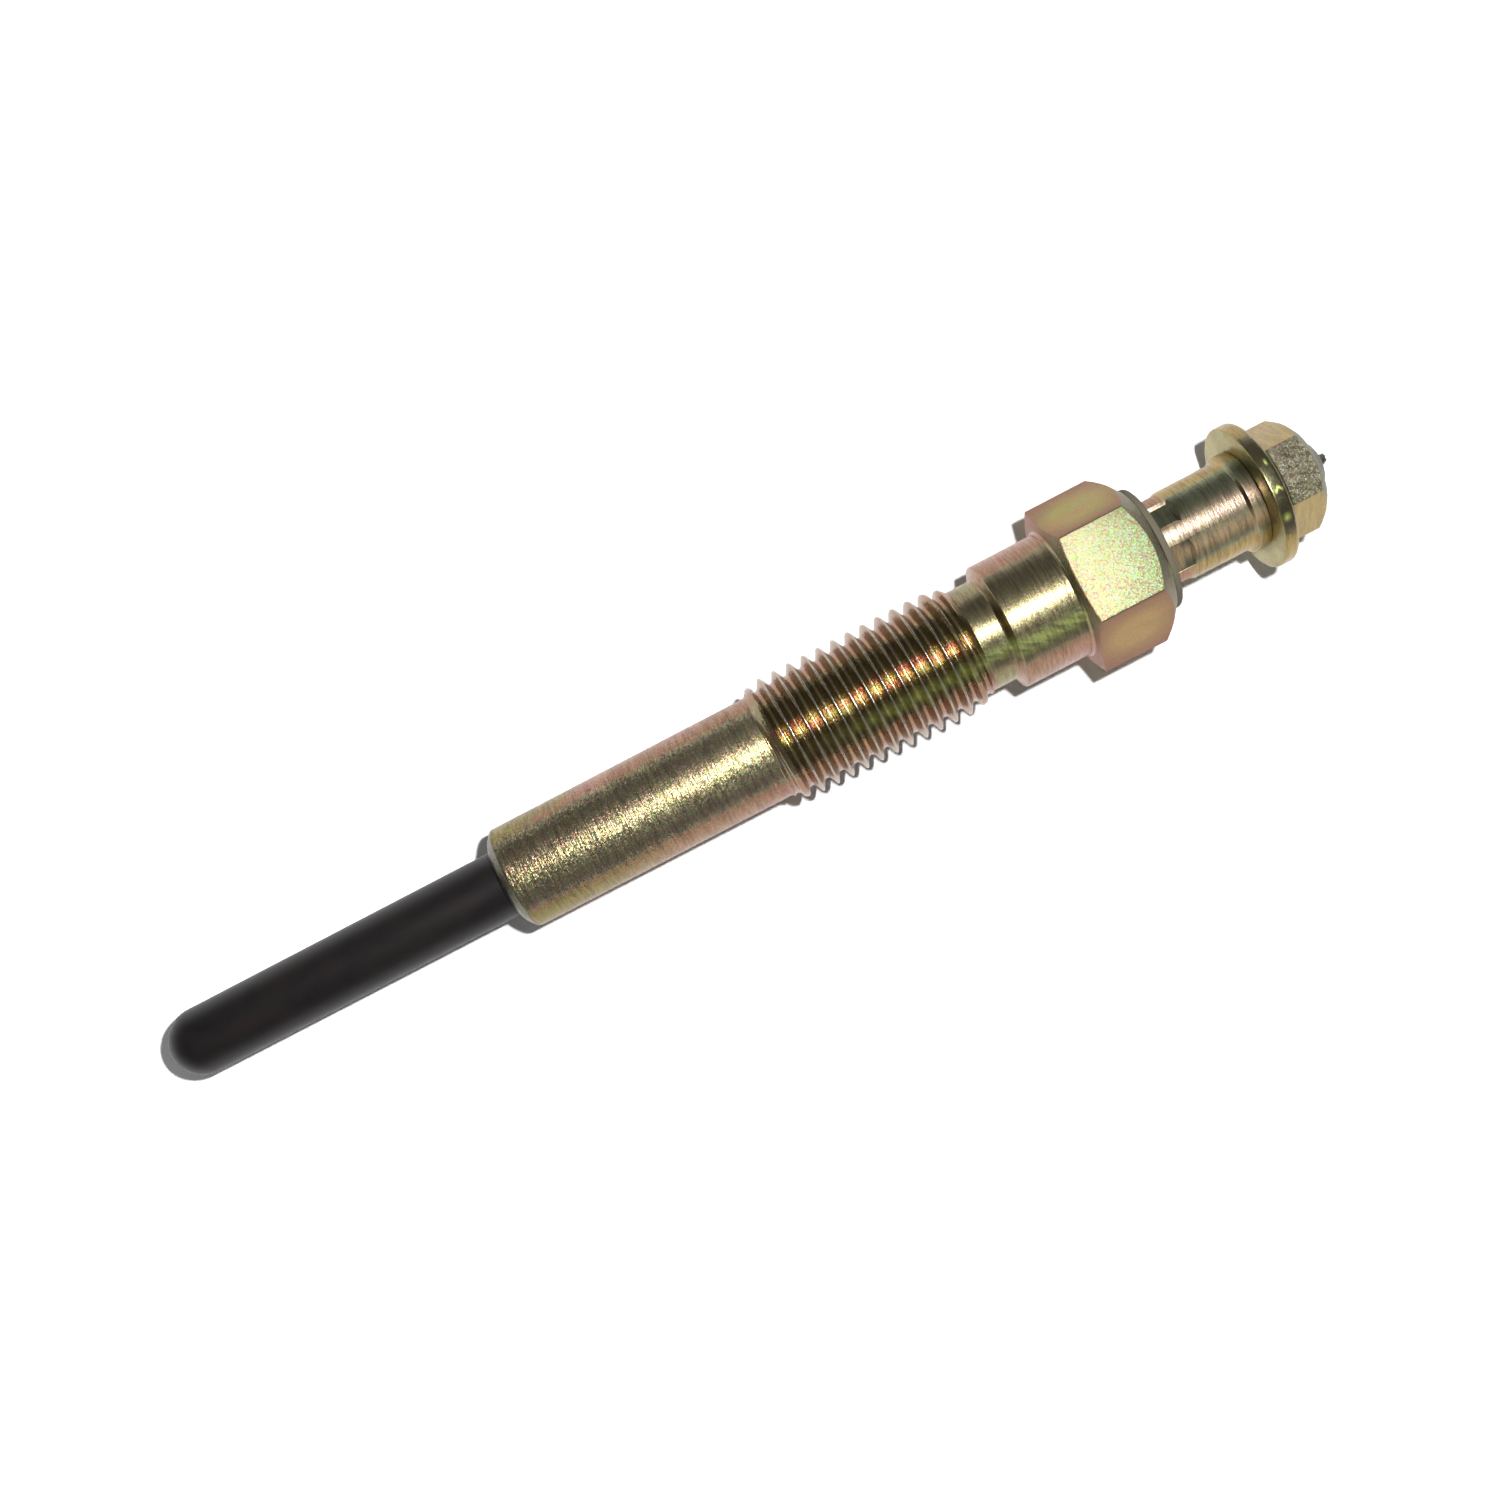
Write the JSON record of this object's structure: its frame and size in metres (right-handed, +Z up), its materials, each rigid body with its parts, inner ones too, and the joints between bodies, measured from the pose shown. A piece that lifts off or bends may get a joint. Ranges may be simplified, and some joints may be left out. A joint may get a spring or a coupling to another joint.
{
  "type": "glow plug",
  "caption": "Diesel glow plug: oxidised heater sheath, plated steel housing with a fine thread and hexagon head, and a threaded terminal with a staked round nut and a hexagon flange nut.",
  "frame": {"origin": "midway between the heater's tip and the terminal's end, below the plug's axis, at the height of the hexagon's lower flat", "axes": "+X along the plug's axis from the heater's tip to the terminal, +Z up through the hexagon's upper flat, Y across"},
  "size_m": [0.0982, 0.0136, 0.0117],
  "materials": {
    "housing": "zinc plated, yellow iridescent passivation over fine turning marks",
    "heater_sheath": "near-black brown heat oxide, satin",
    "heating_coil": "dull resistance wire",
    "control_coil": "dull nickel wire",
    "magnesia_filling": "compacted matt powder",
    "centre_electrode": "drawn steel, rough grey at the outer end",
    "sheath_seal": "moulded, matt",
    "seal_ring": "moulded, matt",
    "insulating_bush": "moulded resin, matt olive grey",
    "round_nut": "zinc plated, yellow passivation, turned rings",
    "flange_nut": "zinc plated, yellow iridescent passivation, grainy flats"
  },
  "bodies": {
    "root": {"housing": "housing", "heater_sheath": "heater_sheath", "heating_coil": "heating_coil", "control_coil": "control_coil", "magnesia_filling": "magnesia_filling", "centre_electrode": "centre_electrode", "sheath_seal": "sheath_seal", "seal_ring": "seal_ring", "insulating_bush": "insulating_bush", "round_nut": "round_nut", "flange_nut": "flange_nut"}
  },
  "joints": []
}
